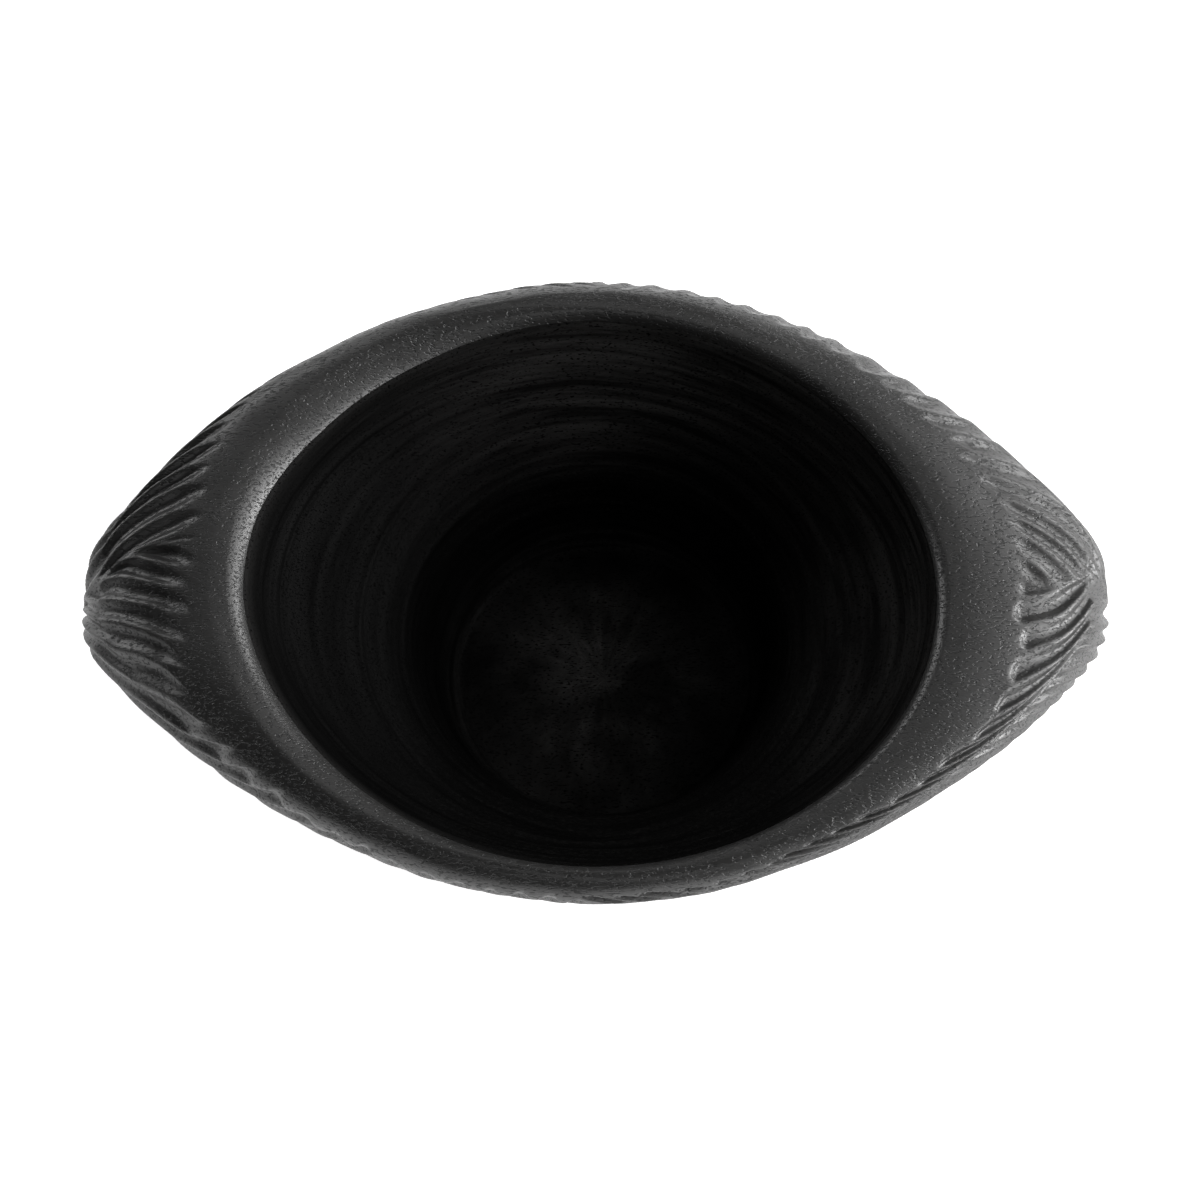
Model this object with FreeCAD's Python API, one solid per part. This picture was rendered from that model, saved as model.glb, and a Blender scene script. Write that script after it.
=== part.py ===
import FreeCAD, Part

import math
import os

# Carved wooden vessel: one lens-shaped block, pointed at both ends, hollowed out from above,
# with a small felt pad under each quarter of its foot.
#
# Frame: +X runs along the length from end to end, +Y from front to back, +Z up.
# The origin is on the resting plane, under the middle of the body.  All sizes are in millimetres.
# A "drop" is a distance below the crest of the lip.

# Overall size
LENGTH = 296.0
WIDTH = 195.0
HEIGHT = 96.0
PAD_THICKNESS = 2.0
BODY_DEPTH = HEIGHT - PAD_THICKNESS

# Plan of the body: a lens whose ends are blunt keels
BLUNT_SHARE = 0.25
BLUNT_POWER = 0.16

# Profile at the two ends: crest of the lip, out to the keel, back in to the foot
CREST_HALF_LENGTH = 102.4
KEEL_DROP = 26.0
SHOULDER_POWER = 2.3
FOOT_HALF_LENGTH = 75.5
END_UNDERSIDE_POWER = 1.57

# Profile at the middle of the front and back walls
CREST_HALF_WIDTH = 87.1
WALL_DROP = 11.0
ROUNDING_POWER = 1.55
FOOT_HALF_WIDTH = 53.0
WALL_UNDERSIDE_POWER = 1.14

# The mouth is nearly oval, a little off the middle and turned a little against the body.
# Its plan fades into the body's between the crest and the walls' widest level.
MOUTH_ROUNDNESS = 0.85
MOUTH_SHIFT_X = -2.3
MOUTH_SHIFT_Y = -4.1
MOUTH_TURN = -6.4
MOUTH_FADE = 0.9

# The hollow, from the crest down to the floor of its round well.
# Each station is its name, drop, half length and half width.
HOLLOW_STATIONS = [
    ("crest", 0.0, 100.0, 86.0),
    ("lip", 2.5, 98.6, 84.8),
    ("upper_wall", 10.0, 95.5, 81.0),
    ("ledge", 20.0, 90.0, 75.5),
    ("bowl", 34.0, 68.5, 67.0),
    ("well_mouth", 47.0, 55.5, 55.5),
    ("well_wall", 62.0, 50.0, 50.0),
    ("floor_edge", 75.0, 46.5, 46.5),
    ("floor", 80.0, 41.0, 41.0),
]
WELL_SHIFT_X = 2.3
WELL_SHIFT_Y = -1.7

# The recess cut into the underside, which leaves a ring to stand on
RECESS_HALF_LENGTH = 54.0
RECESS_HALF_WIDTH = 34.0
RECESS_DEPTH = 3.0

# Felt pads on the foot ring
PAD_DIAMETER = 12.0
PAD_ALONG = 50.0

# How finely the surfaces are drawn
OUTLINE_POINTS = 56
LOFT_DEGREE = 3
CUT_MARGIN = 1.0


def lens(t):
    """Half width of the plan at t of the half length: 1 in the middle, 0 at the keel."""
    s = max(0.0, 1.0 - t * t)
    return (1.0 - BLUNT_SHARE) * s + BLUNT_SHARE * s ** BLUNT_POWER


def outline(half_length, half_width, drop, roundness, centre, turn):
    """A smooth closed plan outline, between the lens and an ellipse, at one drop.  It starts in the
    middle of the back wall, away from both keels, so that the two ends come out alike."""
    c = math.cos(math.radians(turn))
    s = math.sin(math.radians(turn))
    points = []
    for i in range(OUTLINE_POINTS):
        angle = math.pi / 2.0 + 2.0 * math.pi * i / OUTLINE_POINTS
        along = math.cos(angle)
        across = math.sin(angle)
        if i in (OUTLINE_POINTS // 4, 3 * OUTLINE_POINTS // 4):
            across = 0.0
        width = (1.0 - roundness) * math.copysign(lens(along), across) + roundness * across
        if across == 0.0:
            width = 0.0
        x = half_length * along
        y = half_width * width
        points.append(FreeCAD.Vector(centre[0] + x * c - y * s, centre[1] + x * s + y * c,
                                     HEIGHT - drop))
    curve = Part.BSplineCurve()
    curve.interpolate(points, PeriodicFlag=True)
    return Part.Wire([curve.toShape()])


def bulge(drop, crest, widest, widest_drop, foot, top_power, under_power):
    """Half size of the outside: from the crest out to the widest level, then in to the foot."""
    if drop <= widest_drop:
        rise = (widest_drop - drop) / widest_drop
        return crest + (widest - crest) * (1.0 - rise ** top_power) ** (1.0 / top_power)
    depth = (drop - widest_drop) / (BODY_DEPTH - widest_drop)
    reach = 1.0 - (foot / widest) ** under_power
    return widest * (1.0 - reach * depth ** under_power) ** (1.0 / under_power)


def half_length_at(drop):
    return bulge(drop, CREST_HALF_LENGTH, LENGTH / 2.0, KEEL_DROP,
                 FOOT_HALF_LENGTH, SHOULDER_POWER, END_UNDERSIDE_POWER)


def half_width_at(drop):
    return bulge(drop, CREST_HALF_WIDTH, WIDTH / 2.0, WALL_DROP,
                 FOOT_HALF_WIDTH, ROUNDING_POWER, WALL_UNDERSIDE_POWER)


def outer_body():
    """The outside of the block.  Its plan turns from the mouth's at the crest into the body's."""
    drops = [0.0, 0.5, 1.4, 3.0, 5.0, 7.8, WALL_DROP, 15.0, 20.0, KEEL_DROP, 32.0, 40.0, 49.0, 59.0, 69.0, 79.0, 87.0]
    drops.append(BODY_DEPTH)
    wires = []
    for drop in drops:
        like_mouth = 1.0 - min(1.0, drop / WALL_DROP) ** MOUTH_FADE
        wires.append(outline(half_length_at(drop), half_width_at(drop), drop,
                             MOUTH_ROUNDNESS * like_mouth,
                             (MOUTH_SHIFT_X * like_mouth, MOUTH_SHIFT_Y * like_mouth),
                             MOUTH_TURN * like_mouth))
    return Part.makeLoft(wires, True, False, False, LOFT_DEGREE)


def hollow():
    """The space inside, from the floor of the well up to the crest."""
    deepest = HOLLOW_STATIONS[-1][1]
    wires = []
    for name, drop, half_length, half_width in HOLLOW_STATIONS:
        down = drop / deepest
        wires.append(outline(half_length, half_width, drop,
                             MOUTH_ROUNDNESS + (1.0 - MOUTH_ROUNDNESS) * min(1.0, 2.0 * down),
                             (MOUTH_SHIFT_X + (WELL_SHIFT_X - MOUTH_SHIFT_X) * down,
                              MOUTH_SHIFT_Y + (WELL_SHIFT_Y - MOUTH_SHIFT_Y) * down),
                             MOUTH_TURN))
    return Part.makeLoft(wires, True, False, False, LOFT_DEGREE)


def foot_recess():
    """A shallow oval recess in the underside."""
    below = FreeCAD.Vector(0, 0, PAD_THICKNESS - CUT_MARGIN)
    rim = Part.Ellipse(below, RECESS_HALF_LENGTH, RECESS_HALF_WIDTH)
    face = Part.Face(Part.Wire([rim.toShape()]))
    return face.extrude(FreeCAD.Vector(0, 0, RECESS_DEPTH + CUT_MARGIN))


def vessel_body():
    return outer_body().cut(hollow()).cut(foot_recess())


def felt_pad(sign_x, sign_y):
    """A felt disc under the foot ring, midway between the recess and the foot's outer edge."""
    outer = FOOT_HALF_WIDTH * lens(PAD_ALONG / FOOT_HALF_LENGTH)
    inner = RECESS_HALF_WIDTH * math.sqrt(1.0 - (PAD_ALONG / RECESS_HALF_LENGTH) ** 2)
    centre = FreeCAD.Vector(sign_x * PAD_ALONG, sign_y * (inner + outer) / 2.0, 0)
    return Part.makeCylinder(PAD_DIAMETER / 2.0, PAD_THICKNESS, centre)


PARTS = {"vessel_body": vessel_body()}
for side_name, side_sign in (("front", -1), ("back", 1)):
    for end_name, end_sign in (("left", -1), ("right", 1)):
        PARTS["felt_pad_" + side_name + "_" + end_name] = felt_pad(end_sign, side_sign)

os.makedirs("parts", exist_ok=True)
for node, shape in PARTS.items():
    shape.exportStep("parts/" + node + ".step")
    box = shape.optimalBoundingBox(False)
    corners = (box.XMin, box.XMax, box.YMin, box.YMax, box.ZMin, box.ZMax)
    print(node, shape.isValid(), len(shape.Solids), round(shape.Volume / 1000.0, 1), "cm3",
          [round(v, 2) for v in corners])
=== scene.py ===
import math

import bpy
import numpy as np
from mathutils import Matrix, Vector


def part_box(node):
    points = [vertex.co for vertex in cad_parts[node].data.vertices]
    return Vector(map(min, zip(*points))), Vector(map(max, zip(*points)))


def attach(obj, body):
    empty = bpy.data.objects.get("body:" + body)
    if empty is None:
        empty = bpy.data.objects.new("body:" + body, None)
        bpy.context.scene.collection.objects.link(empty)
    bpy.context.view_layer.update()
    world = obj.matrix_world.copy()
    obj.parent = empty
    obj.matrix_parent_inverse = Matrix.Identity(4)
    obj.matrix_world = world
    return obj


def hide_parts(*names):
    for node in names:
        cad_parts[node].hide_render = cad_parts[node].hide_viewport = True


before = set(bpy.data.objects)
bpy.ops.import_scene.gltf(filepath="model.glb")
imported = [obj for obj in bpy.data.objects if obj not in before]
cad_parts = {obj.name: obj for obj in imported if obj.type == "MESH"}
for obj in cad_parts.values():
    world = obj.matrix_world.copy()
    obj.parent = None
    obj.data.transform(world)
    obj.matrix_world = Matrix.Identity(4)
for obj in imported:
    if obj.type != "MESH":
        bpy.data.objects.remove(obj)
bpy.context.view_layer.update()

# A carved wooden bowl: lens-shaped in plan, with keeled ends, a rounded lip, a turned hollow
# and rows of gouge cuts, which run down from the rim towards the keels.
#
# +X runs from keel to keel, +Y from front to back, +Z up.  Shapes are worked out in millimetres
# and go into Blender in metres.  A "drop" is a distance below the crest of the lip.
MM = 0.001

# The body's block, from the frame
FOOT_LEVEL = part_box("vessel_body")[0].z / MM
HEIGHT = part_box("vessel_body")[1].z / MM
BODY_DEPTH = HEIGHT - FOOT_LEVEL

# Plan and profiles of the outside, as in the CAD part
LENGTH = 296.0
WIDTH = 195.0
BLUNT_SHARE = 0.25
BLUNT_POWER = 0.16
CREST_HALF_LENGTH = 102.4
KEEL_DROP = 26.0
SHOULDER_POWER = 2.3
FOOT_HALF_LENGTH = 75.5
END_UNDERSIDE_POWER = 1.57
CREST_HALF_WIDTH = 87.1
WALL_DROP = 11.0
ROUNDING_POWER = 1.55
FOOT_HALF_WIDTH = 53.0
WALL_UNDERSIDE_POWER = 1.14
MOUTH_ROUNDNESS = 0.85
MOUTH_SHIFT = (-2.3, -4.1)
MOUTH_TURN = -6.4
MOUTH_FADE = 0.9
WELL_SHIFT = (2.3, -1.7)
RECESS_HALF_LENGTH = 54.0
RECESS_HALF_WIDTH = 34.0
RECESS_DEPTH = 3.0

# The lip: it rolls over from the crest to a crisp edge, with a narrow ledge under it
EDGE_HALF_LENGTH = 98.2
EDGE_HALF_WIDTH = 84.5
EDGE_DROP = 3.4
ROLL_POWER = 1.7
ROLL_TURN = 84.0

# The lip's inner side is worn down towards the edge: the angle round the mouth and how far down
LIP_WEAR = [
    (0.0, 0.6), (60.0, 1.0), (100.0, 2.0), (130.0, 3.6), (160.0, 2.8), (190.0, 1.6), (225.0, 2.6),
    (260.0, 1.5), (300.0, 1.0), (340.0, 0.6), (360.0, 0.6),
]
LIP_WEAR_WIDTH = 9.5
LIP_WEAR_POWER = 1.2
# The wear fades out over these distances below the crest, outside and inside
LIP_WEAR_FADE_OUTSIDE = (6.0, 12.0)
LIP_WEAR_DEPTH = 14.0

# Where the worn lip reaches further in over the hollow: the angle round the mouth and how far
LIP_INSET = [
    (0.0, 0.0), (95.0, 0.0), (125.0, 2.6), (150.0, 3.4), (172.0, 1.4), (190.0, 0.6), (225.0, 0.8),
    (260.0, 0.0), (360.0, 0.0),
]

# The hollow under the crisp edge: drop, half length, half width
HOLLOW = [
    (3.6, 97.7, 84.0),
    (10.0, 95.5, 81.0),
    (20.0, 90.0, 75.5),
    (34.0, 68.5, 67.0),
    (47.0, 55.5, 55.5),
    (62.0, 50.0, 50.0),
    (75.0, 46.5, 46.5),
    (79.4, 43.6, 43.6),
    (80.0, 40.0, 40.0),
]

# Rings left by turning: the row of HOLLOW that each follows, its offset down the wall, its
# height off the wall and its width
TURNED_RINGS = [
    (2, -1.6, 0.45, 0.9),
    (2, 0.4, -0.35, 0.8),
    (2, 2.0, 0.25, 0.8),
    (3, 0.0, 0.45, 1.0),
    (3, 1.8, -0.2, 0.8),
    (4, -3.0, 0.3, 0.9),
    (4, 2.5, -0.2, 1.2),
]
# Fine marks between them: their height, two spacings, the second one's share, and how far from the
# lip and from the floor's middle they fade in
TURNING_MARK = 0.12
TURNING_SPACINGS = (1.1, 2.3)
SECOND_MARK_SHARE = 0.7
TURNING_FADES = (2.0, 4.0)
TURNING_SEED = 7

# Where the smooth band under the lip ends: the angle round the mouth, in degrees from the right
# keel, and how far down the surface the band reaches there
BAND_WIDTH = [
    (0.0, 19.0), (25.0, 19.0), (50.0, 14.5), (90.0, 10.0), (120.0, 16.0), (135.0, 21.0),
    (152.0, 16.5), (165.0, 10.3), (178.0, 7.8), (192.0, 7.8), (203.0, 13.5), (216.0, 18.0),
    (228.0, 15.5), (246.0, 11.7), (268.0, 8.5), (284.0, 13.5), (305.0, 12.5), (320.0, 17.0),
    (340.0, 22.0), (360.0, 19.0),
]

# Gouge cuts.  A place along a wall is given as its share of the way from the middle to the keel.
# The sweep is how much of that way a cut covers per millimetre that it runs down: all cuts head
# for the keels.  The quarters are back right, back left, front left and front right.
BACK_RIGHT, BACK_LEFT, FRONT_LEFT, FRONT_RIGHT = range(4)
SWEEP = [
    [(0.0, 0.0050), (0.35, 0.0038), (0.60, 0.0055), (0.80, 0.0070), (0.93, 0.0055), (1.0, 0.0045)],
    [(0.0, 0.0050), (0.35, 0.0038), (0.60, 0.0045), (0.75, 0.0038), (0.90, 0.0024), (1.0, 0.0016)],
    [(0.0, 0.0050), (0.35, 0.0038), (0.60, 0.0060), (0.75, 0.0074), (0.85, 0.0045), (1.0, 0.0027)],
    [(0.0, 0.0050), (0.30, 0.0045), (0.55, 0.0040), (0.75, 0.0030), (0.88, 0.0022), (1.0, 0.0014)],
]
# Lower down the cuts sweep more: how many times more, and over which distances it grows
LOWER_SWEEP = [(1.7, 35.0, 75.0), (1.7, 35.0, 75.0), (1.7, 35.0, 75.0), (2.0, 8.0, 30.0)]
# The shares over which the sweep is added up: first, last and how many
SWEEP_SHARES = (-2.0, 1.0, 6000)

# The right spine, where the cuts of two quarters meet, leans off the keel near the band: how far
# it leans, over which distance down the wall it comes back, and how far round the cuts follow it
RIGHT_SPINE_SHIFT = 10.0
RIGHT_SPINE_LENGTH = 38.0
RIGHT_SPINE_REACH = 70.0

# Spacing of the cuts along a quarter of the rim, and near its tip, with where that begins and how
# gradually.  The phase is how far into a cut each quarter's middle is.
RIM_QUARTER = 168.0
RIM_PITCH = 8.7
TIP_PITCH = 8.6
TIP_PITCH_FROM = 80.0
TIP_PITCH_OVER = 60.0
PHASES = [0.02, 0.30, 0.02, 0.30]

# How deep each quarter's cuts are, how broad their bottoms, and how long they take to sink in at
# the band, at the spine in the middle of the wall, at the keel and at the foot
CUT_DEPTHS = [0.85, 2.0, 1.8, 1.6]
SCOOP_GAIN = 1.15
ENTRY_LENGTHS = [5.0, 11.0, 10.0, 2.5]
SPINE_LENGTH = 6.0
KEEL_LENGTH = 2.5
FOOT_LENGTH = 6.0
FOOT_MARGIN = 2.0

# The hand's unevenness.  Rows of cuts wander along the rim and each cut wavers on its way down, by
# a share of a cut, over so many cuts or millimetres, with random values for the reach given.  A
# cut starts a little early or late, and the weakest is less deep.
MOST_CUTS = 200
CUT_SEED = 20
ROW_WANDER = 0.12
ROW_WANDER_CUTS = 1.6
ROW_WANDER_REACH = 60.0
CUT_WANDER = 0.05
CUT_WANDER_LENGTH = 9.0
CUT_WANDER_REACH = 400.0
CUT_WANDER_STEP = 3.0
LATE_STARTS = (-1.0, 1.6)
CUT_STRENGTHS = (0.82, 1.0)

# Broad unevenness of the whole outside: wavelength and height of each set of waves.  The surface
# stays a little inside the CAD block, except close to the crest.
FACETS = [(38.0, 0.16), (17.0, 0.07), (9.0, 0.03)]
FACET_WAVES = 5
FACET_SEED = 5
SURFACE_MARGIN = 0.2
MARGIN_FADE = 1.5

# The underside: the scales of the first and last ring on its recess's ceiling; the recess's wall,
# as the scale of each ring and its distance below the ceiling; and the rings across the foot, as
# shares of the way to its outer edge
RECESS_SCALES = (0.02, 0.985)
RECESS_WALL = [(0.996, 0.2), (1.0, 0.7), (1.0, 2.6), (1.006, 3.0)]
FOOT_RINGS = (0.25, 0.5, 0.75, 0.92, 0.98)

# Size of the last ring on the well's floor, as a share of the first
FLOOR_CENTRE_SIZE = 0.03

# A felt pad from the middle of its lower face round to the middle of its upper one: shares of its
# radius and of its thickness
PAD_PROFILE = [
    (0.15, 0.0), (0.45, 0.0), (0.75, 0.0), (0.93, 0.0), (0.985, 0.08), (1.0, 0.25), (1.0, 0.5),
    (1.0, 0.8), (0.99, 0.95), (0.97, 1.0), (0.7, 1.0), (0.4, 1.0), (0.15, 1.0),
]
PAD_COLUMNS = 96

# Fineness of the mesh.  The hollow has half as many columns as the outside, and the floor and the
# underside have a quarter.
COLUMNS = 1200
OUTER_ROWS = 200
ROLL_ROWS = 12
# The last of these rows take the hollow's wood, so its painted shade starts at a crisp edge on the
# lip
DARK_ROLL_ROWS = 3
HOLLOW_ROWS = 130
FLOOR_ROWS = 24
UNDER_ROWS = 14


# ---------------------------------------------------------------------------------------------
# Shape formulas
# ---------------------------------------------------------------------------------------------

def lens(t):
    """Half width of the plan at t of the half length: 1 in the middle, 0 at the keel."""
    s = np.maximum(0.0, 1.0 - t * t)
    return (1.0 - BLUNT_SHARE) * s + BLUNT_SHARE * s ** BLUNT_POWER


def section(angle, half_length, half_width, drop, roundness, centre, turn):
    """Points of one plan section, between the lens and an ellipse, at the given angles."""
    along = np.cos(angle)
    across = np.sin(angle)
    width = (1.0 - roundness) * np.copysign(lens(along), across) + roundness * across
    x = half_length * along
    y = half_width * width
    c = math.cos(math.radians(turn))
    s = math.sin(math.radians(turn))
    z = np.full_like(x, HEIGHT - drop)
    return np.stack([centre[0] + x * c - y * s, centre[1] + x * s + y * c, z], axis=-1)


def bulge(drop, crest, widest, widest_drop, foot, top_power, under_power):
    """Half size of the outside: from the crest out to the widest level, then in to the foot."""
    if drop <= widest_drop:
        rise = (widest_drop - drop) / widest_drop
        return crest + (widest - crest) * (1.0 - rise ** top_power) ** (1.0 / top_power)
    depth = (drop - widest_drop) / (BODY_DEPTH - widest_drop)
    reach = 1.0 - (foot / widest) ** under_power
    return widest * (1.0 - reach * depth ** under_power) ** (1.0 / under_power)


def outer_section(angle, drop):
    """The outside of the block at one drop.  Its plan turns from the mouth's into the body's."""
    like_mouth = 1.0 - min(1.0, drop / WALL_DROP) ** MOUTH_FADE
    half_length = bulge(drop, CREST_HALF_LENGTH, LENGTH / 2.0, KEEL_DROP,
                        FOOT_HALF_LENGTH, SHOULDER_POWER, END_UNDERSIDE_POWER)
    half_width = bulge(drop, CREST_HALF_WIDTH, WIDTH / 2.0, WALL_DROP,
                       FOOT_HALF_WIDTH, ROUNDING_POWER, WALL_UNDERSIDE_POWER)
    centre = (MOUTH_SHIFT[0] * like_mouth, MOUTH_SHIFT[1] * like_mouth)
    return section(angle, half_length, half_width, drop,
                   MOUTH_ROUNDNESS * like_mouth, centre, MOUTH_TURN * like_mouth)


def hollow_section(angle, drop, half_length, half_width):
    """The inside at one drop.  Its plan turns from the mouth's into the round well's."""
    down = drop / HOLLOW[-1][0]
    roundness = MOUTH_ROUNDNESS + (1.0 - MOUTH_ROUNDNESS) * min(1.0, 2.0 * down)
    centre = (MOUTH_SHIFT[0] + (WELL_SHIFT[0] - MOUTH_SHIFT[0]) * down,
              MOUTH_SHIFT[1] + (WELL_SHIFT[1] - MOUTH_SHIFT[1]) * down)
    return section(angle, half_length, half_width, drop, roundness, centre, MOUTH_TURN)


def even_angles(count):
    """Angles whose points lie evenly along the widest section, with one on each keel."""
    fine = np.linspace(0.0, 2.0 * math.pi, 8 * count + 1)
    points = outer_section(fine, KEEL_DROP)
    steps = np.linalg.norm(np.diff(points, axis=0), axis=1)
    length = lengths_along(steps)
    return np.interp(np.linspace(0.0, length[-1], count + 1)[:-1], length, fine)


def even_drops(count):
    """Drops from the foot up to the crest, evenly spaced along the wall."""
    fine = BODY_DEPTH * np.linspace(0.0, 1.0, 2000) ** 2
    corner = np.array([0.0, math.pi / 2.0])
    points = np.array([outer_section(corner, drop) for drop in fine])
    steps = np.linalg.norm(np.diff(points, axis=0), axis=2).mean(axis=1)
    length = lengths_along(steps)
    return np.interp(np.linspace(length[-1], 0.0, count), length, fine)


def smooth(part):
    """From 0 to 1, level at both ends."""
    part = np.clip(part, 0.0, 1.0)
    return part * part * (3.0 - 2.0 * part)


def eased(part):
    """From 0 to 1, steep at first, as a gouge sinks in."""
    return 1.0 - (1.0 - np.clip(part, 0.0, 1.0)) ** 2


def lengths_along(steps):
    """Distances from the start, for steps that run down the first axis."""
    return np.concatenate([np.zeros((1,) + steps.shape[1:]), np.cumsum(steps, axis=0)])


def wander(rng, position, spacing, reach):
    """Smooth seeded wandering between -1 and 1, with one random value every spacing."""
    count = int(2.0 * reach / spacing) + 3
    values = rng.uniform(-1.0, 1.0, count)
    place = np.clip((position + reach) / spacing, 0.0, count - 1.001)
    low = place.astype(int)
    part = smooth(place - low)
    return values[low] * (1.0 - part) + values[low + 1] * part


def normals_of(grid):
    """Unit normals of a grid of points whose columns close on themselves."""
    around = np.roll(grid, -1, axis=1) - np.roll(grid, 1, axis=1)
    along = np.gradient(grid, axis=0)
    normal = np.cross(around, along)
    return normal / (np.linalg.norm(normal, axis=2, keepdims=True) + 1e-9)


# ---------------------------------------------------------------------------------------------
# Gouge cuts on the outside
# ---------------------------------------------------------------------------------------------

def band_width(angle):
    """How far below the crest, along the surface, the smooth band under the lip ends."""
    return np.interp(np.degrees(angle) % 360.0, *zip(*BAND_WIDTH))


def sweep_table(quarter):
    """Shares of the way to the keel, and the cuts' own coordinate at each of them."""
    share = np.linspace(*SWEEP_SHARES)
    rate = np.interp(share, *zip(*SWEEP[quarter]))
    steps = np.diff(share) * 0.5 * (1.0 / rate[1:] + 1.0 / rate[:-1])
    coordinate = lengths_along(steps)
    return share, coordinate - np.interp(0.0, share, coordinate)


def sweep_below(quarter, distance):
    """How far along its own coordinate a cut has come at a distance below the band."""
    times, begin, end = LOWER_SWEEP[quarter]
    part = np.clip((distance - begin) / (end - begin), 0.0, 1.0)
    past = np.maximum(distance - end, 0.0)
    return distance + (times - 1.0) * (0.5 * (end - begin) * part * part + past)


def cut_number_table(distance):
    """How many cuts there are up to each distance along the rim."""
    near_tip = smooth((distance - TIP_PITCH_FROM) / TIP_PITCH_OVER)
    pitch = RIM_PITCH + (TIP_PITCH - RIM_PITCH) * near_tip
    steps = np.diff(distance) * 0.5 * (1.0 / pitch[1:] + 1.0 / pitch[:-1])
    number = lengths_along(steps)
    return number - np.interp(0.0, distance, number)


def past_keel_distance(grid):
    """Distance round the plan from the nearer keel: above 0 behind it on the right and in front of
    it on the left.  Also returns the distance from keel to middle on each ring."""
    steps = np.linalg.norm(np.roll(grid, -1, axis=1)[..., :2] - grid[..., :2], axis=2)
    length = lengths_along(steps.T).T
    quarter = COLUMNS // 4
    column = np.arange(COLUMNS)
    past_keel = length[:, :-1] - length[:, np.where(column < quarter, 0, 2 * quarter)]
    past_keel[:, 3 * quarter:] = length[:, 3 * quarter:-1] - length[:, -1:]
    return past_keel, np.abs(length[:, quarter] - length[:, 0])[:, None] * np.ones(COLUMNS)


def right_spine_lean(below_band, past_keel):
    """How far the spine between the two right quarters is off the keel."""
    back = np.clip(1.0 - below_band / RIGHT_SPINE_LENGTH, 0.0, 1.0)
    return RIGHT_SPINE_SHIFT * back * smooth(1.0 - np.abs(past_keel) / RIGHT_SPINE_REACH)


def cut_depths(grid, angle):
    """How deep the gouge has cut at every point of the outside."""
    rises = np.linalg.norm(np.diff(grid, axis=0), axis=2)
    below_crest = lengths_along(rises[::-1])[::-1]
    below_band = below_crest - band_width(angle)[None, :]
    above_foot = below_crest[0][None, :] - below_crest
    column = np.arange(COLUMNS)[None, :]
    right = (column < COLUMNS // 4) | (column >= 3 * COLUMNS // 4)
    past_keel, to_keel = past_keel_distance(grid)
    past_keel = past_keel - right_spine_lean(below_band, past_keel) * right
    right_quarter = np.where(past_keel >= 0.0, BACK_RIGHT, FRONT_RIGHT)
    left_quarter = np.where(past_keel < 0.0, BACK_LEFT, FRONT_LEFT)
    place = np.where(right, right_quarter, left_quarter)
    from_middle = to_keel - np.abs(past_keel)
    depth = np.zeros_like(below_band)
    for quarter in (BACK_RIGHT, BACK_LEFT, FRONT_LEFT, FRONT_RIGHT):
        own = place == quarter
        depth[own] = quarter_depths(quarter, below_band[own], above_foot[own],
                                    from_middle[own], to_keel[own])
    return depth


def quarter_depths(quarter, below_band, above_foot, from_middle, to_keel):
    """The cuts of one quarter of the outside, each with its own start, strength and waver."""
    rng = np.random.default_rng(CUT_SEED + quarter)
    share, coordinate = sweep_table(quarter)
    distance = share * RIM_QUARTER
    here = np.interp(from_middle / to_keel, share, coordinate)
    start = np.interp(here - sweep_below(quarter, below_band), coordinate, distance)
    number = np.interp(start, distance, cut_number_table(distance)) + PHASES[quarter]
    number = number + ROW_WANDER * wander(rng, number, ROW_WANDER_CUTS, ROW_WANDER_REACH)
    down = below_band + CUT_WANDER_STEP * number
    number = number + CUT_WANDER * wander(rng, down, CUT_WANDER_LENGTH, CUT_WANDER_REACH)
    cut = np.floor(number).astype(int)
    row = cut + MOST_CUTS // 2
    late = rng.uniform(*LATE_STARTS, MOST_CUTS)[row]
    strength = rng.uniform(*CUT_STRENGTHS, MOST_CUTS)[row]
    from_ridge = 1.0 - np.abs(2.0 * (number - cut) - 1.0)
    across = 1.0 - smooth(SCOOP_GAIN * from_ridge)
    entry = smooth((below_band - late) / ENTRY_LENGTHS[quarter])
    keel = eased((to_keel - from_middle) / KEEL_LENGTH)
    spine = np.minimum(eased(from_middle / SPINE_LENGTH), keel)
    foot = eased((above_foot - FOOT_MARGIN) / FOOT_LENGTH)
    reach = entry * np.minimum(spine, foot)
    return CUT_DEPTHS[quarter] * strength * np.maximum(0.0, reach - across)


def tool_facets(rng, grid):
    """Low broad unevenness left by hand tools."""
    total = np.zeros(grid.shape[:2])
    for wavelength, height in FACETS:
        for _ in range(FACET_WAVES):
            direction = rng.normal(size=3)
            direction = direction / np.linalg.norm(direction)
            phase = rng.uniform(0.0, 2.0 * math.pi)
            wave = np.sin(grid @ direction * 2.0 * math.pi / wavelength + phase)
            total += height * wave / FACET_WAVES ** 0.5
    return total


# ---------------------------------------------------------------------------------------------
# The body's rings of points, from the middle of the underside up, over the lip and down
# ---------------------------------------------------------------------------------------------

def outer_rings(angle):
    """The outside, with its cuts, from the foot up to the crest."""
    drops = even_drops(OUTER_ROWS)
    grid = np.array([outer_section(angle, drop) for drop in drops])
    normal = normals_of(grid)
    outward = np.sign(np.sum(normal * (grid - [0.0, 0.0, HEIGHT / 2.0]), axis=2, keepdims=True))
    normal = normal * outward
    normal[-1] = (0.0, 0.0, 1.0)
    fade = np.clip((drops[:, None] - SURFACE_MARGIN) / MARGIN_FADE, 0.0, 1.0)
    facets = tool_facets(np.random.default_rng(FACET_SEED), grid)
    inward = cut_depths(grid, angle) + fade * (SURFACE_MARGIN + facets).clip(0.0)
    return grid - normal * inward[..., None]


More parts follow.
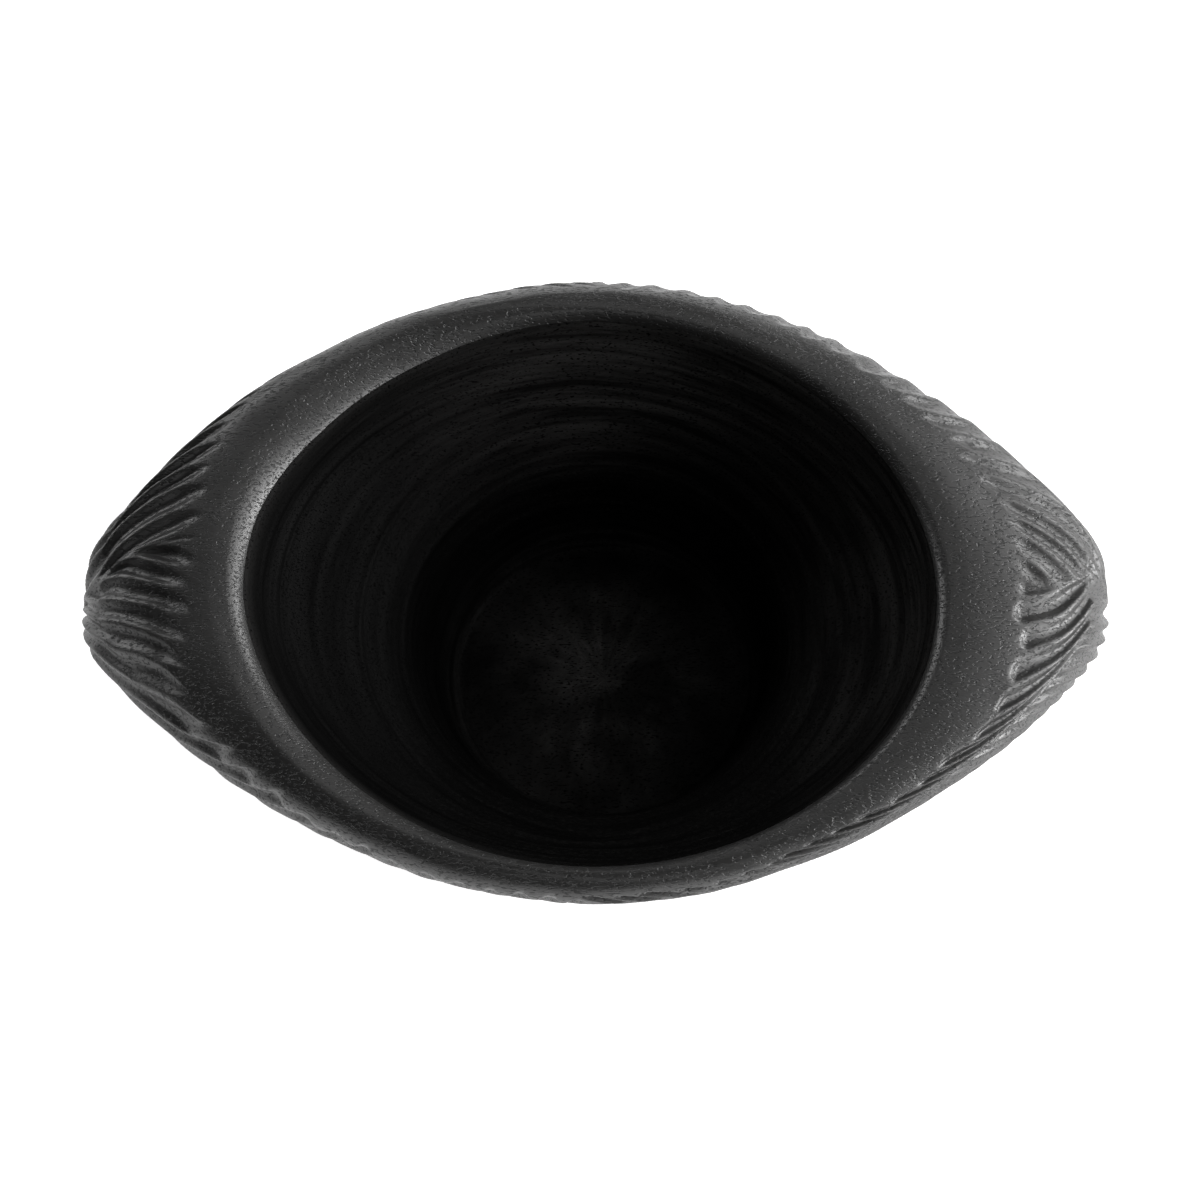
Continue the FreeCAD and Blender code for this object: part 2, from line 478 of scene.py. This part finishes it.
def roll_rings(angle):
    """The lip, from the crest over to its crisp inner edge."""
    last = math.radians(ROLL_TURN)
    power = 2.0 / ROLL_POWER
    rings = []
    for i in range(1, ROLL_ROWS + 1):
        turn = last * i / ROLL_ROWS
        across = math.sin(turn) ** power / math.sin(last) ** power
        level = (1.0 - math.cos(turn) ** power) / (1.0 - math.cos(last) ** power)
        rings.append(hollow_section(
            angle, EDGE_DROP * level,
            CREST_HALF_LENGTH + (EDGE_HALF_LENGTH - CREST_HALF_LENGTH) * across,
            CREST_HALF_WIDTH + (EDGE_HALF_WIDTH - CREST_HALF_WIDTH) * across))
    return np.array(rings)


def reached_in(points, distance):
    """Plan points moved towards the middle of the mouth."""
    out = points - MOUTH_SHIFT
    return points - out / np.linalg.norm(out, axis=-1, keepdims=True) * distance[..., None]


def worn_lip(angle, outer, roll, hollow, hollow_angle):
    """The same rings with the lip's inner side worn down towards its edge."""
    degrees = np.degrees(angle) % 360.0
    hollow_degrees = np.degrees(hollow_angle) % 360.0
    edge = roll[-1, :, :2] * 1.0
    wear = np.interp(degrees, *zip(*LIP_WEAR))
    full, none = LIP_WEAR_FADE_OUTSIDE
    for rings in (outer, roll):
        away = np.linalg.norm(rings[..., :2] - edge, axis=2) / LIP_WEAR_WIDTH
        high = np.clip((rings[..., 2] - HEIGHT + none) / (none - full), 0.0, 1.0)
        rings[..., 2] -= wear * high * np.clip(1.0 - away, 0.0, 1.0) ** LIP_WEAR_POWER
    down = (hollow[:, :1, 2].max() - hollow[..., 2]) / LIP_WEAR_DEPTH
    kept = np.clip(1.0 - down, 0.0, 1.0)
    hollow[..., 2] -= np.interp(hollow_degrees, *zip(*LIP_WEAR)) * kept
    share = smooth(np.arange(1, ROLL_ROWS + 1) / ROLL_ROWS)[:, None]
    inset = np.interp(degrees, *zip(*LIP_INSET)) * share
    roll[..., :2] = reached_in(roll[..., :2], inset)
    inset = np.interp(hollow_degrees, *zip(*LIP_INSET)) * kept
    hollow[..., :2] = reached_in(hollow[..., :2], inset)


def smooth_rows(table, count):
    """Points along a smooth curve through the rows of a table, evenly spaced."""
    rows = np.array(table)
    knots = lengths_along(np.linalg.norm(np.diff(rows, axis=0), axis=1))
    slopes = np.gradient(rows, knots, axis=0)
    place = np.linspace(0.0, knots[-1], count)
    low = np.clip(np.searchsorted(knots, place, side="right") - 1, 0, len(knots) - 2)
    span = (knots[low + 1] - knots[low])[:, None]
    t = (place - knots[low])[:, None] / span
    from_low = (1.0 + 2.0 * t) * rows[low] + t * span * slopes[low]
    from_high = (3.0 - 2.0 * t) * rows[low + 1] + (t - 1.0) * span * slopes[low + 1]
    return place, knots, (1.0 - t) ** 2 * from_low + t * t * from_high


def hollow_rings(angle):
    """The inside, with the marks of turning, from the lip's crisp edge down to the floor."""
    place, knots, curve = smooth_rows(HOLLOW, HOLLOW_ROWS)
    grid = np.array([hollow_section(angle, *row) for row in curve])
    normal = normals_of(grid)
    inward = np.sum(normal * (np.array([0.0, 0.0, HEIGHT]) - grid), axis=2, keepdims=True)
    normal = normal * np.sign(inward)
    rng = np.random.default_rng(TURNING_SEED)
    height = np.zeros(len(place))
    for row, offset, tall, wide in TURNED_RINGS:
        height += tall * np.exp(-((place - knots[row] - offset) / wide) ** 2)
    marks = wander(rng, place, TURNING_SPACINGS[0], knots[-1])
    marks = marks + SECOND_MARK_SHARE * wander(rng, place, TURNING_SPACINGS[1], knots[-1])
    from_lip = np.clip(place / TURNING_FADES[0], 0.0, 1.0)
    from_middle = np.clip((knots[-1] - place) / TURNING_FADES[1], 0.0, 1.0)
    height = (height + TURNING_MARK * marks) * from_lip * from_middle
    return grid + normal * height[:, None, None]


def floor_rings(first):
    """The floor of the well, from its edge in towards its middle."""
    centre = np.array(WELL_SHIFT)
    level = HEIGHT - HOLLOW[-1][0]
    rings = []
    for i in range(1, FLOOR_ROWS + 1):
        part = i / FLOOR_ROWS
        ring = first * 1.0
        ring[:, :2] = centre + (first[:, :2] - centre) * (1.0 + (FLOOR_CENTRE_SIZE - 1.0) * part)
        ring[:, 2] = first[:, 2] + (level - first[:, 2]) * part
        rings.append(ring)
    return rings


def recess_ellipse(angle, scale, level):
    """One ring of the underside's recess."""
    x = RECESS_HALF_LENGTH * scale * np.cos(angle)
    y = RECESS_HALF_WIDTH * scale * np.sin(angle)
    return np.stack([x, y, np.full_like(x, level)], axis=-1)


def under_rings(angle):
    """The underside from near its middle out to the foot's edge."""
    ceiling = FOOT_LEVEL + RECESS_DEPTH
    rings = []
    for scale in np.linspace(*RECESS_SCALES, UNDER_ROWS):
        rings.append(recess_ellipse(angle, scale, ceiling))
    for scale, below in RECESS_WALL:
        rings.append(recess_ellipse(angle, scale, ceiling - below))
    inner = rings[-1]
    outer = outer_section(angle, BODY_DEPTH)
    for part in FOOT_RINGS:
        ring = inner + (outer - inner) * part
        ring[:, 2] = FOOT_LEVEL
        rings.append(ring)
    return rings


def bridge(faces, lower, upper):
    """Faces between two rings of vertex numbers.  One ring may have several times as many: each
    face then takes in a run of its vertices."""
    count = min(len(lower), len(upper))
    lower_run = len(lower) // count
    upper_run = len(upper) // count
    for k in range(count):
        run = [lower[(k * lower_run + i) % len(lower)] for i in range(lower_run + 1)]
        back = [upper[(k * upper_run + i) % len(upper)] for i in range(upper_run, -1, -1)]
        faces.append(tuple(run + back))


def mesh_of_rings(name, rings):
    """A closed mesh through a list of rings, with a single face over each end."""
    vertices = []
    numbers = []
    for ring in rings:
        numbers.append(np.arange(len(ring)) + len(vertices))
        vertices.extend(ring.tolist())
    faces = [tuple(int(v) for v in reversed(numbers[0]))]
    for lower, upper in zip(numbers[:-1], numbers[1:]):
        bridge(faces, [int(v) for v in lower], [int(v) for v in upper])
    faces.append(tuple(int(v) for v in numbers[-1]))
    mesh = bpy.data.meshes.new(name)
    mesh.from_pydata([[c * MM for c in v] for v in vertices], [], faces)
    mesh.update()
    mesh.shade_smooth()
    obj = bpy.data.objects.new(name, mesh)
    bpy.context.scene.collection.objects.link(obj)
    return obj


def carved_body():
    """The bowl.  Its faces from the lip's last rows inwards take the second material, the hollow's
    wood darkened as painted shade.
    """
    angle = even_angles(COLUMNS)
    half = angle[::2]
    outer = outer_rings(angle)
    roll = roll_rings(angle)
    hollow = hollow_rings(half)
    worn_lip(angle, outer, roll, hollow, half)
    rings = under_rings(angle[::4])
    rings.extend(outer)
    rings.extend(roll)
    first_dark_ring = len(rings) - DARK_ROLL_ROWS
    rings.extend(hollow)
    rings.extend(floor_rings(hollow[-1][::2]))
    obj = mesh_of_rings("carved_body", rings)
    steps = zip(rings[:first_dark_ring], rings[1:])
    outside_faces = 1 + sum(min(len(lower), len(upper)) for lower, upper in steps)
    slots = np.zeros(len(obj.data.polygons), dtype=np.int32)
    slots[outside_faces:] = 1
    obj.data.polygons.foreach_set("material_index", slots)
    return obj


# ---------------------------------------------------------------------------------------------
# Materials
# ---------------------------------------------------------------------------------------------

def grey(value):
    """A nearly neutral dark tone, slightly warm."""
    return (value, value * 0.98, value * 0.96, 1.0)


# Wood with the stain worn off a ridge, the lightest specks inside, painted as glints, and the
# bottom of a pore, whose black also paints the shade on the hollow's left wall
WORN_WOOD = (0.075, 0.070, 0.066, 1.0)
PAINTED_GLINT_SPECK = (0.010, 0.0098, 0.0096, 1.0)
PORE_AND_PAINTED_SHADE_BLACK = (0.001, 0.001, 0.001, 1.0)

# Painted light and shade in the hollow.  Each region fades in from the first place to the second,
# in
# metres along one axis: the far wall's painted light, which stops above the round well and leaves
# its top in painted shade, the right wall's painted light, the left wall's painted shade, the
# floor's painted pool of light and the painted highlight on the left wall's edge under the lip.
FAR_WALL = (0.02, 0.07)
ABOVE_WELL = (0.045, 0.062)
RIGHT_WALL = (0.05, 0.09)
LEFT_WALL = (0.0, -0.06)
WELL_FLOOR = (0.030, 0.018)
UPPER_EDGE = (0.085, 0.0925)
# Tones of the painted light on the far and right walls, the floor's painted pool of light, and the
# painted highlight on the left wall's upper edge
FAR_WALL_PAINTED_LIGHT = grey(0.021)
RIGHT_WALL_PAINTED_LIGHT = grey(0.015)
FLOOR_PAINTED_LIGHT = grey(0.050)
LEFT_EDGE_PAINTED_HIGHLIGHT = grey(0.012)
REGION_SHARE = 0.8
LEFT_WALL_SHARE = 0.85

# The painted pool of light on the floor: how tight its streaks are about the middle, how large they
# are, and the square of the radius at which the painted light has nearly gone, with what is left of
# it there
STREAK_TURN = 12.0
STREAK_SCALE = 5.0
LIGHT_POOL_RADIUS_SQUARED = 0.0012
LIGHT_POOL_EDGE_SHARE = 0.3

# Noise scales, per metre, and how much the noise is drawn out along the grain
GRAIN = (90.0, (0.12, 1.0, 1.0))
FIBRES = (2600.0, (0.4, 1.0, 1.0))
STAIN = (26.0, (0.5, 1.0, 1.0))
SPECKLE = (1500.0, (0.6, 1.0, 1.0))
TURNED_SHADES = (420.0, (0.05, 0.05, 1.0))
PORE_STRETCH = (0.36, 1.0, 1.0)
PORE_EDGE = 0.07
PORE_DULLNESS = 0.25
GLOSS_SPREAD = 0.07

# Wear on the outside's ridges: the pointiness where it starts and where it is full, and its share
RIDGE_POINTINESS = (0.515, 0.60)
RIDGE_WEAR = 0.25

# Relief of the grain and the pores
RELIEF_DEPTH = 0.0003
RELIEF_STRENGTH = 0.5
FIBRE_RELIEF = 0.35
GRAIN_RELIEF = 0.5


def new_material(name):
    """A node material, its nodes and links, and its shader."""
    material = bpy.data.materials.new(name)
    material.use_nodes = True
    nodes = material.node_tree.nodes
    return material, nodes, material.node_tree.links, nodes["Principled BSDF"]


def noise(nodes, links, coords, scale, stretch=(1.0, 1.0, 1.0), detail=3.0, roughness=0.55):
    """Noise at so many features per metre, drawn out along the axes whose stretch is below 1."""
    mapping = nodes.new("ShaderNodeMapping")
    mapping.inputs["Scale"].default_value = stretch
    links.new(coords, mapping.inputs["Vector"])
    texture = nodes.new("ShaderNodeTexNoise")
    texture.inputs["Scale"].default_value = scale
    texture.inputs["Detail"].default_value = detail
    texture.inputs["Roughness"].default_value = roughness
    links.new(mapping.outputs["Vector"], texture.inputs["Vector"])
    return texture.outputs["Fac"]


def remap(nodes, links, value, low, high, to_low, to_high):
    """A value moved from one range to another and held inside it."""
    node = nodes.new("ShaderNodeMapRange")
    node.inputs["From Min"].default_value = low
    node.inputs["From Max"].default_value = high
    node.inputs["To Min"].default_value = to_low
    node.inputs["To Max"].default_value = to_high
    links.new(value, node.inputs["Value"])
    return node.outputs["Result"]


def combine(nodes, links, operation, first, second):
    """Two values, or a value and a number, put together by a Math node."""
    node = nodes.new("ShaderNodeMath")
    node.operation = operation
    for socket, value in zip(node.inputs, (first, second)):
        if isinstance(value, (int, float)):
            socket.default_value = value
        else:
            links.new(value, socket)
    return node.outputs["Value"]


def mix_colour(nodes, links, factor, first, second):
    """A colour between two colours."""
    node = nodes.new("ShaderNodeMix")
    node.data_type = "RGBA"
    links.new(factor, node.inputs["Factor"])
    for socket, value in ((node.inputs[6], first), (node.inputs[7], second)):
        if isinstance(value, tuple):
            socket.default_value = value
        else:
            links.new(value, socket)
    return node.outputs[2]


def add_bump(nodes, links, shader, height, strength):
    """Relief in the shader's normal."""
    bump = nodes.new("ShaderNodeBump")
    bump.inputs["Strength"].default_value = strength
    bump.inputs["Distance"].default_value = RELIEF_DEPTH
    links.new(height, bump.inputs["Height"])
    links.new(bump.outputs["Normal"], shader.inputs["Normal"])


def scaled(nodes, links, colour, factor):
    """A colour made lighter or darker by a factor that varies over the surface."""
    node = nodes.new("ShaderNodeVectorMath")
    node.operation = "SCALE"
    links.new(colour, node.inputs[0])
    links.new(factor, node.inputs["Scale"])
    return node.outputs["Vector"]


def painted_floor_light(nodes, links, place, base):
    """The well's floor with a painted pool of light, paler towards its middle, with streaks that
    run out from it.
    """
    x = combine(nodes, links, "SUBTRACT", place["X"], WELL_SHIFT[0] * MM)
    y = combine(nodes, links, "SUBTRACT", place["Y"], WELL_SHIFT[1] * MM)
    around = nodes.new("ShaderNodeCombineXYZ")
    links.new(combine(nodes, links, "ARCTAN2", y, x), around.inputs["X"])
    links.new(combine(nodes, links, "MULTIPLY", x, STREAK_TURN), around.inputs["Y"])
    links.new(combine(nodes, links, "MULTIPLY", y, STREAK_TURN), around.inputs["Z"])
    streaks = noise(nodes, links, around.outputs["Vector"], STREAK_SCALE, detail=4.0, roughness=0.7)
    streaked = remap(nodes, links, streaks, 0.30, 0.75, 0.25, 0.85)
    square = combine(nodes, links, "ADD", combine(nodes, links, "MULTIPLY", x, x),
                     combine(nodes, links, "MULTIPLY", y, y))
    near = remap(nodes, links, square, 0.0, LIGHT_POOL_RADIUS_SQUARED, 1.0, LIGHT_POOL_EDGE_SHARE)
    streaked = combine(nodes, links, "MULTIPLY", streaked, near)
    low = remap(nodes, links, place["Z"], *WELL_FLOOR, 0.0, 1.0)
    wear_and_painted_light = combine(nodes, links, "MULTIPLY", low, streaked)
    return mix_colour(nodes, links, wear_and_painted_light, base, FLOOR_PAINTED_LIGHT)


def turned_shades(nodes, links, coords, base):
    """Darker and lighter rings that follow the turning."""
    rings = noise(nodes, links, coords, *TURNED_SHADES, detail=4.0, roughness=0.65)
    return scaled(nodes, links, base, remap(nodes, links, rings, 0.38, 0.62, 0.35, 1.8))


def hollow_painted_light_and_shade(nodes, links, coords, base):
    """Painted light and shade in the hollow: painted light on the far and right walls, a painted
    pool of light on the floor, speckle painted as glints, painted shade on the left wall with a
    painted highlight along its upper edge, and turned rings."""
    place = nodes.new("ShaderNodeSeparateXYZ")
    links.new(coords, place.inputs["Vector"])
    place = place.outputs
    # Painted light on the far wall, kept off the well's top, which stays in painted shade
    far = remap(nodes, links, place["Y"], *FAR_WALL, 0.0, REGION_SHARE)
    above_well = remap(nodes, links, place["Z"], *ABOVE_WELL, 0.0, 1.0)
    far = combine(nodes, links, "MULTIPLY", far, above_well)
    base = mix_colour(nodes, links, far, base, FAR_WALL_PAINTED_LIGHT)
    # Painted light on the right wall
    right = remap(nodes, links, place["X"], *RIGHT_WALL, 0.0, REGION_SHARE)
    base = mix_colour(nodes, links, right, base, RIGHT_WALL_PAINTED_LIGHT)
    base = painted_floor_light(nodes, links, place, base)
    # Lighter specks painted as glints on the pores
    glint_specks = noise(nodes, links, coords, *SPECKLE, 2.0, 0.6)
    base = mix_colour(nodes, links, remap(nodes, links, glint_specks, 0.48, 0.68, 0.0, 0.5), base, PAINTED_GLINT_SPECK)
    # Painted shade on the left wall
    left = remap(nodes, links, place["X"], *LEFT_WALL, 0.0, 1.0)
    left_wall_painted_shade = combine(nodes, links, "MULTIPLY", left, LEFT_WALL_SHARE)
    base = mix_colour(nodes, links, left_wall_painted_shade, base, PORE_AND_PAINTED_SHADE_BLACK)
    base = turned_shades(nodes, links, coords, base)
    # A painted highlight along the left wall's upper edge, under the lip
    high = remap(nodes, links, place["Z"], *UPPER_EDGE, 0.0, 1.0)
    left_edge_painted_highlight = combine(nodes, links, "MULTIPLY", high, left)
    return mix_colour(nodes, links, left_edge_painted_highlight, base, LEFT_EDGE_PAINTED_HIGHLIGHT)


def worn_ridges(nodes, links, base):
    """Wood that shows through the stain on the ridges between the cuts."""
    pointiness = nodes.new("ShaderNodeNewGeometry").outputs["Pointiness"]
    wear_and_painted_light = remap(nodes, links, pointiness, *RIDGE_POINTINESS, 0.0, RIDGE_WEAR)
    return mix_colour(nodes, links, wear_and_painted_light, base, WORN_WOOD)


def wood_relief(nodes, links, shader, pore_mask, fine, grain):
    """Pores sunk into a surface with slightly raised fibres and grain."""
    relief = combine(nodes, links, "MULTIPLY", pore_mask, -1.0)
    fibres = combine(nodes, links, "MULTIPLY", fine, FIBRE_RELIEF)
    relief = combine(nodes, links, "ADD", relief, fibres)
    lines = combine(nodes, links, "MULTIPLY", grain, GRAIN_RELIEF)
    relief = combine(nodes, links, "ADD", relief, lines)
    add_bump(nodes, links, shader, relief, RELIEF_STRENGTH)


def stained_wood(name, dark, light, thin, gloss, rough, pore_size, pore_share, inside):
    """Open-pored hardwood stained black: the pores run along X."""
    material, nodes, links, shader = new_material(name)
    coords = nodes.new("ShaderNodeTexCoord").outputs["Object"]
    grain = noise(nodes, links, coords, *GRAIN, 4.0, 0.6)
    pores = noise(nodes, links, coords, pore_size, PORE_STRETCH, 1.0, 0.4)
    fine = noise(nodes, links, coords, *FIBRES, 2.0, 0.6)
    stain = noise(nodes, links, coords, *STAIN, 3.0, 0.6)
    pore_mask = remap(nodes, links, pores, pore_share, pore_share + PORE_EDGE, 0.0, 1.0)
    base = mix_colour(nodes, links, remap(nodes, links, grain, 0.35, 0.7, 0.0, 1.0), dark, light)
    base = mix_colour(nodes, links, remap(nodes, links, stain, 0.4, 0.7, 0.0, 0.5), base, thin)
    # The hollow's copy takes painted light and shade by place
    if inside:
        base = hollow_painted_light_and_shade(nodes, links, coords, base)
    else:
        base = worn_ridges(nodes, links, base)
    base = mix_colour(nodes, links, pore_mask, base, PORE_AND_PAINTED_SHADE_BLACK)
    links.new(base, shader.inputs["Base Color"])
    gloss_map = remap(nodes, links, fine, 0.3, 0.7, rough - GLOSS_SPREAD, rough + GLOSS_SPREAD)
    dull_pores = combine(nodes, links, "MULTIPLY", pore_mask, PORE_DULLNESS)
    links.new(combine(nodes, links, "ADD", gloss_map, dull_pores), shader.inputs["Roughness"])
    shader.inputs["Specular IOR Level"].default_value = gloss
    wood_relief(nodes, links, shader, pore_mask, fine, grain)
    return material


def felt():
    """Dense wool felt: matted fibres, soft sheen at the edge."""
    material, nodes, links, shader = new_material("felt")
    coords = nodes.new("ShaderNodeTexCoord").outputs["Object"]
    fibres = noise(nodes, links, coords, 2200.0, (1.0, 0.35, 1.0), 5.0, 0.7)
    tufts = noise(nodes, links, coords, 420.0, detail=2.0)
    base = mix_colour(nodes, links, remap(nodes, links, fibres, 0.3, 0.7, 0.0, 1.0),
                      (0.030, 0.030, 0.032, 1.0), (0.085, 0.085, 0.090, 1.0))
    links.new(base, shader.inputs["Base Color"])
    links.new(remap(nodes, links, tufts, 0.3, 0.7, 0.9, 1.0), shader.inputs["Roughness"])
    shader.inputs["Sheen Weight"].default_value = 0.4
    add_bump(nodes, links, shader, fibres, 0.7)
    return material


def plain_floor():
    """A plain white floor, bright enough to read as the photo's white ground."""
    material, nodes, links, shader = new_material("floor")
    coords = nodes.new("ShaderNodeTexCoord").outputs["Object"]
    tone = noise(nodes, links, coords, 3.0)
    base = mix_colour(nodes, links, tone, (0.88, 0.88, 0.88, 1.0), (0.90, 0.90, 0.90, 1.0))
    links.new(base, shader.inputs["Base Color"])
    shader.inputs["Roughness"].default_value = 0.9
    shader.inputs["Emission Color"].default_value = (1.0, 1.0, 1.0, 1.0)
    shader.inputs["Emission Strength"].default_value = 0.85
    return material


# ---------------------------------------------------------------------------------------------
# The object
# ---------------------------------------------------------------------------------------------

outer_wood = stained_wood(
    "waxed_wood", dark=grey(0.012), light=grey(0.022), thin=grey(0.028), gloss=0.7,
    rough=0.38, pore_size=1600.0, pore_share=0.56, inside=False)
# The hollow's wood: its base colours are the outer wood's about seventeen times darker, painted
# shade where little light reaches the hollow
hollow_wood_painted_shade = stained_wood(
    "turned_wood_painted_shade", dark=grey(0.0007), light=grey(0.0014), thin=grey(0.002), gloss=0.03,
    rough=0.60, pore_size=2200.0, pore_share=0.60, inside=True)
wool = felt()

body = carved_body()
body.data.materials.append(outer_wood)
body.data.materials.append(hollow_wood_painted_shade)
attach(body, "root")
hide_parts("vessel_body")


def felt_pad(node):
    """A felt disc with a soft rounded edge, in the place of its CAD node."""
    low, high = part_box(node)
    centre = (low + high) / 2.0 / MM
    radius = (high.x - low.x) / 2.0 / MM
    angle = np.linspace(0.0, 2.0 * math.pi, PAD_COLUMNS + 1)[:-1]
    rings = []
    for out, up in PAD_PROFILE:
        level = (low.z + (high.z - low.z) * up) / MM
        x = centre.x + radius * out * np.cos(angle)
        y = centre.y + radius * out * np.sin(angle)
        rings.append(np.stack([x, y, np.full_like(x, level)], axis=-1))
    pad = mesh_of_rings(node + "_disc", rings)
    pad.data.materials.append(wool)
    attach(pad, "root")
    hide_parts(node)


for side in ("front", "back"):
    for end in ("left", "right"):
        felt_pad("felt_pad_" + side + "_" + end)


# ---------------------------------------------------------------------------------------------
# Floor, light and camera
# ---------------------------------------------------------------------------------------------

FLOOR_SIZE = 6.0

# Each light's name, place, size and power.  All are aimed at the middle of the bowl.
LIGHT_TARGET = (0.0, 0.0, 0.06)
LIGHTS = [
    ("right_low_light", (1.315, 0.0, 0.364), (0.6, 0.25), 15.0),
    ("right_light", (1.106, 0.0, 0.834), (0.6, 0.3), 5.0),
    ("back_right_light", (1.039, 0.728, 0.522), (0.6, 0.3), 7.5),
    ("back_right_high_light", (0.782, 0.548, 1.015), (0.6, 0.4), 2.5),
    ("back_light", (0.0, 0.774, 1.166), (1.0, 0.4), 0.9),
    ("back_left_light", (-0.718, 1.025, 0.566), (0.6, 0.3), 2.8),
    ("left_light", (-1.129, 0.652, 0.409), (0.6, 0.3), 3.0),
    ("front_right_light", (1.052, -0.736, 0.477), (0.6, 0.3), 6.0),
    ("front_light", (0.0, -0.868, 1.094), (0.8, 0.4), 1.2),
]

# The world's strength at the horizon and overhead, and its share on the camera's side
WORLD_HORIZON = 0.1
WORLD_ZENITH = 0.02
WORLD_FRONT = 0.3

CAMERA_ELEVATION = math.radians(66.0)
CAMERA_AZIMUTH = math.radians(-0.2)
CAMERA_DISTANCE = 0.955
CAMERA_TARGET = Vector((0.00120, -0.00650, 0.086))
CAMERA_LENS = 100.8
SENSOR_WIDTH = 36.0


def floor_plane():
    """A wide square on the ground."""
    half = FLOOR_SIZE / 2.0
    corners = [(-half, -half, 0), (half, -half, 0), (half, half, 0), (-half, half, 0)]
    mesh = bpy.data.meshes.new("floor")
    mesh.from_pydata(corners, [], [(0, 1, 2, 3)])
    obj = bpy.data.objects.new("floor", mesh)
    bpy.context.scene.collection.objects.link(obj)
    return obj


def aim(obj, place, target):
    """Puts a light or the camera at a place, turned towards the target."""
    obj.location = place
    obj.rotation_euler = (Vector(target) - Vector(place)).to_track_quat("-Z", "Y").to_euler()


def soft_light(name, place, size, power):
    """A rectangular studio light."""
    data = bpy.data.lights.new(name, "AREA")
    data.shape = "RECTANGLE"
    data.size = size[0]
    data.size_y = size[1]
    data.energy = power
    obj = bpy.data.objects.new(name, data)
    bpy.context.scene.collection.objects.link(obj)
    aim(obj, place, LIGHT_TARGET)


def studio_world():
    """White all round: strongest at the horizon, dim overhead and dimmer on the camera's side."""
    world = bpy.data.worlds.new("world")
    world.use_nodes = True
    nodes = world.node_tree.nodes
    links = world.node_tree.links
    coords = nodes.new("ShaderNodeTexCoord")
    split = nodes.new("ShaderNodeSeparateXYZ")
    links.new(coords.outputs["Generated"], split.inputs["Vector"])
    level = remap(nodes, links, split.outputs["Z"], 0.05, 0.55, WORLD_HORIZON, WORLD_ZENITH)
    side = remap(nodes, links, split.outputs["Y"], -0.7, 0.3, WORLD_FRONT, 1.0)
    strength = combine(nodes, links, "MULTIPLY", level, side)
    links.new(strength, nodes["Background"].inputs["Strength"])
    nodes["Background"].inputs["Color"].default_value = (1.0, 1.0, 1.0, 1.0)
    return world


def photo_camera():
    """The camera, above the bowl and a little in front of it, as in the photo."""
    data = bpy.data.cameras.new("camera")
    data.lens = CAMERA_LENS
    data.sensor_width = SENSOR_WIDTH
    obj = bpy.data.objects.new("camera", data)
    bpy.context.scene.collection.objects.link(obj)
    level = math.cos(CAMERA_ELEVATION)
    toward_camera = Vector((math.sin(CAMERA_AZIMUTH) * level, -math.cos(CAMERA_AZIMUTH) * level,
                            math.sin(CAMERA_ELEVATION)))
    aim(obj, CAMERA_TARGET + toward_camera * CAMERA_DISTANCE, CAMERA_TARGET)
    return obj


floor = floor_plane()
floor.data.materials.append(plain_floor())
for name, place, size, power in LIGHTS:
    soft_light(name, place, size, power)
bpy.context.scene.world = studio_world()
bpy.context.scene.view_settings.view_transform = "Standard"
bpy.context.scene.camera = photo_camera()

bpy.context.view_layer.update()
